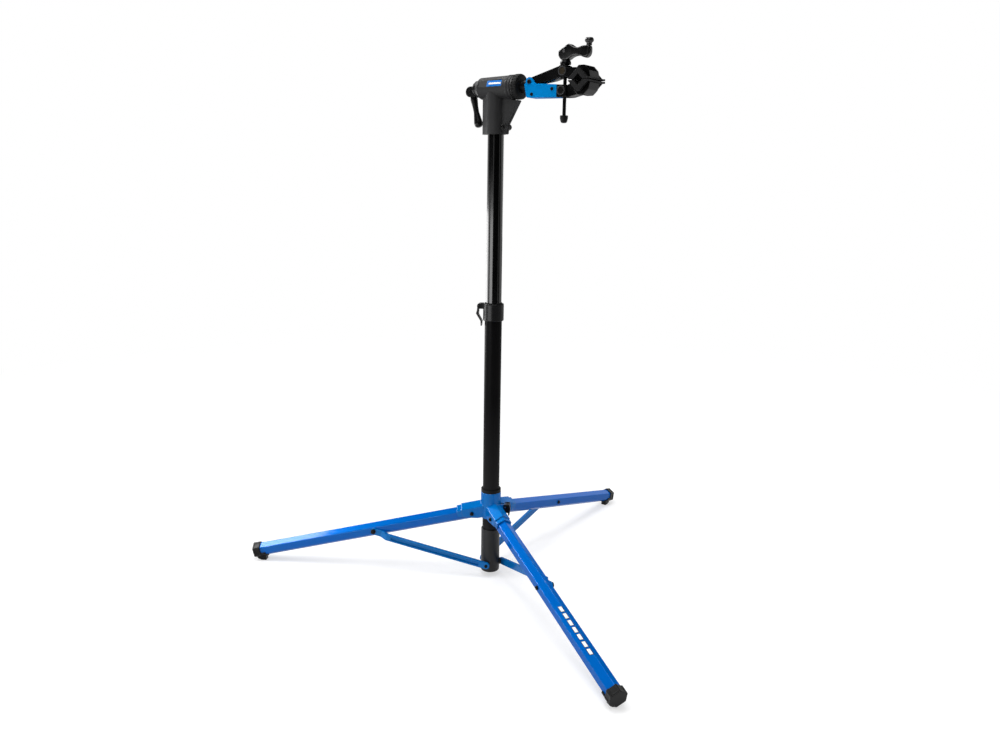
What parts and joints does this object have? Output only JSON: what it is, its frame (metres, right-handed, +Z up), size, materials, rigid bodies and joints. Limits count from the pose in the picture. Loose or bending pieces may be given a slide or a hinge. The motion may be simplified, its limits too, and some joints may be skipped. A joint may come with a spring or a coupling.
{
  "type": "bike repair stand",
  "caption": "Folding bike repair stand: telescoping mast on hexagonal legs that fold up round it, with a turning clamp worked by a screw and a cam handle.",
  "frame": {"origin": "on the floor under the mast axis", "axes": "+Z up along the mast, +X along the clamp arm"},
  "size_m": [1.3362, 1.1605, 1.5481],
  "materials": {
    "satin_charcoal": "satin charcoal anodised tube",
    "gloss_black": "gloss black painted tube",
    "leg_blue": "bright blue anodised and painted alloy",
    "arm_blue": "bright blue painted casting",
    "black_plastic": "moulded glass filled nylon, fine grain",
    "black_casting": "black powder coated casting",
    "rubber": "moulded black rubber",
    "black_fastener": "black oxide steel",
    "steel": "zinc plated steel",
    "bronze": "dull bronze"
  },
  "bodies": {
    "mast": {"lower_tube": "satin_charcoal", "base_sleeve": "black_plastic", "strut_bolts": "black_fastener", "height_collar": "black_plastic", "collar_bush": "rubber", "collar_shoe": "black_plastic", "collar_pin": "steel"},
    "height_lever": {"height_lever": "black_plastic"},
    "glide": {"glide_plug": "rubber"},
    "head": {"upper_tube": "gloss_black", "head_body": "black_casting", "shaft_bushes": "bronze", "lock_cap": "black_plastic", "lock_pin": "steel", "pinch_bolt": "black_fastener", "pinch_nut": "black_fastener"},
    "lock_lever": {"lock_lever": "black_plastic"},
    "clamp": {"clamp_shaft": "black_fastener", "clamp_flange": "rubber", "clamp_arm": "arm_blue", "lower_jaw": "black_casting", "lower_pad": "rubber", "jaw_pivot_bolt": "black_fastener", "arm_screws": "black_fastener"},
    "upper_jaw": {"upper_jaw": "black_casting", "upper_pad": "rubber"},
    "screw_nut": {"lower_trunnion": "black_fastener"},
    "screw_carrier": {"upper_trunnion": "bronze", "thrust_washer": "black_plastic"},
    "clamp_screw": {"clamp_screw": "black_fastener", "screw_cap": "rubber", "cam_pin": "steel"},
    "cam_handle": {"cam_handle": "black_plastic"},
    "crank_knob": {"crank_knob": "black_plastic"},
    "hub": {"hub_body": "leg_blue", "hub_bushes": "rubber", "leg_pivot_bolts": "black_fastener", "hub_shoe": "black_plastic", "hub_pin": "steel"},
    "hub_lever": {"hub_lever": "black_plastic"},
    "right_leg": {"right_leg": "leg_blue", "right_leg_plug": "rubber", "right_foot": "rubber", "right_leg_bolt": "black_fastener"},
    "right_strut": {"right_strut": "leg_blue", "right_strut_nut": "black_fastener"},
    "left_leg": {"left_leg": "leg_blue", "left_leg_plug": "rubber", "left_foot": "rubber", "left_leg_bolt": "black_fastener"},
    "left_strut": {"left_strut": "leg_blue", "left_strut_nut": "black_fastener"},
    "front_leg": {"front_leg": "leg_blue", "front_leg_plug": "rubber", "front_foot": "rubber", "front_leg_bolt": "black_fastener"},
    "front_strut": {"front_strut": "leg_blue", "front_strut_nut": "black_fastener"}
  },
  "joints": [
    {"name": "mast_height", "type": "slide", "parent": "mast", "child": "glide", "axis": [0, 0, 1], "range_m": [-0.445, 0.02]},
    {"name": "mast_swivel", "type": "hinge", "parent": "glide", "child": "head", "pos_m": [0, 0, 1], "axis": [0, 0, 1], "continuous": true},
    {"name": "height_lever", "type": "hinge", "parent": "mast", "child": "height_lever", "pos_m": [-0.03377, -0.0195, 0.83982], "axis": [-0.5, 0.866, 0], "range_deg": [0, 105]},
    {"name": "hub_slide", "type": "slide", "parent": "mast", "child": "hub", "axis": [0, 0, 1], "range_m": [0, 0.51411]},
    {"name": "hub_lever", "type": "hinge", "parent": "hub", "child": "hub_lever", "pos_m": [0.03923, 0.02265, 0.22441], "axis": [0.5, -0.866, 0], "range_deg": [0, 90]},
    {"name": "lock_lever", "type": "hinge", "parent": "head", "child": "lock_lever", "pos_m": [-0.082, 0, 1.433], "axis": [0, 1, 0], "range_deg": [0, 100]},
    {"name": "clamp_turn", "type": "hinge", "parent": "head", "child": "clamp", "pos_m": [0, 0, 1.44], "axis": [1, 0, 0], "continuous": true},
    {"name": "screw_spin", "type": "hinge", "parent": "screw_carrier", "child": "clamp_screw", "pos_m": [0.22, 0, 1.44], "axis": [0, 0, 1], "range_deg": [0, 3013.42]},
    {"name": "jaw_open", "type": "hinge", "parent": "clamp", "child": "upper_jaw", "pos_m": [0.1215, 0, 1.449], "axis": [0, -1, 0], "range_deg": [0, 20.01]},
    {"name": "screw_tilt", "type": "hinge", "parent": "clamp", "child": "screw_nut", "pos_m": [0.22, 0, 1.423], "axis": [0, -1, 0], "range_deg": [0, 9.53]},
    {"name": "screw_lift", "type": "slide", "parent": "screw_nut", "child": "screw_carrier", "axis": [0, 0, 1], "range_m": [0, 0.03353]},
    {"name": "cam_flip", "type": "hinge", "parent": "clamp_screw", "child": "cam_handle", "pos_m": [0.22, 0, 1.5191], "axis": [0, -1, 0], "range_deg": [0, 90]},
    {"name": "knob_spin", "type": "hinge", "parent": "cam_handle", "child": "crank_knob", "pos_m": [0.288, 0, 1.5291], "axis": [0, 0, 1], "continuous": true},
    {"name": "right_leg_fold", "type": "hinge", "parent": "hub", "child": "right_leg", "pos_m": [0, 0.055, 0.20341], "axis": [-1, 0, 0], "range_deg": [0, 73.48]},
    {"name": "right_strut_fold", "type": "hinge", "parent": "mast", "child": "right_strut", "pos_m": [-0.0325, 0.008, 0.04], "axis": [1, 0, 0], "range_deg": [0, 66.73]},
    {"name": "left_leg_fold", "type": "hinge", "parent": "hub", "child": "left_leg", "pos_m": [-0.04763, -0.0275, 0.20341], "axis": [0.5, -0.866, 0], "range_deg": [0, 73.48]},
    {"name": "left_strut_fold", "type": "hinge", "parent": "mast", "child": "left_strut", "pos_m": [0.00932, -0.03215, 0.04], "axis": [-0.5, 0.866, 0], "range_deg": [0, 66.73]},
    {"name": "front_leg_fold", "type": "hinge", "parent": "hub", "child": "front_leg", "pos_m": [0.04763, -0.0275, 0.20341], "axis": [0.5, 0.866, 0], "range_deg": [0, 73.48]},
    {"name": "front_strut_fold", "type": "hinge", "parent": "mast", "child": "front_strut", "pos_m": [0.02318, 0.02415, 0.04], "axis": [-0.5, -0.866, 0], "range_deg": [0, 66.73]}
  ],
  "couplings": [
    {"joint": "jaw_open", "follows": "screw_spin", "ratio": 0.006637},
    {"joint": "screw_tilt", "follows": "screw_spin", "ratio": 0.0031564},
    {"joint": "screw_lift", "follows": "screw_spin", "m_per_rad": 0.00063662},
    {"joint": "right_leg_fold", "follows": "hub_slide", "rad_per_m": 2.4945},
    {"joint": "right_strut_fold", "follows": "hub_slide", "rad_per_m": 2.2652},
    {"joint": "left_leg_fold", "follows": "hub_slide", "rad_per_m": 2.4945},
    {"joint": "left_strut_fold", "follows": "hub_slide", "rad_per_m": 2.2652},
    {"joint": "front_leg_fold", "follows": "hub_slide", "rad_per_m": 2.4945},
    {"joint": "front_strut_fold", "follows": "hub_slide", "rad_per_m": 2.2652}
  ]
}
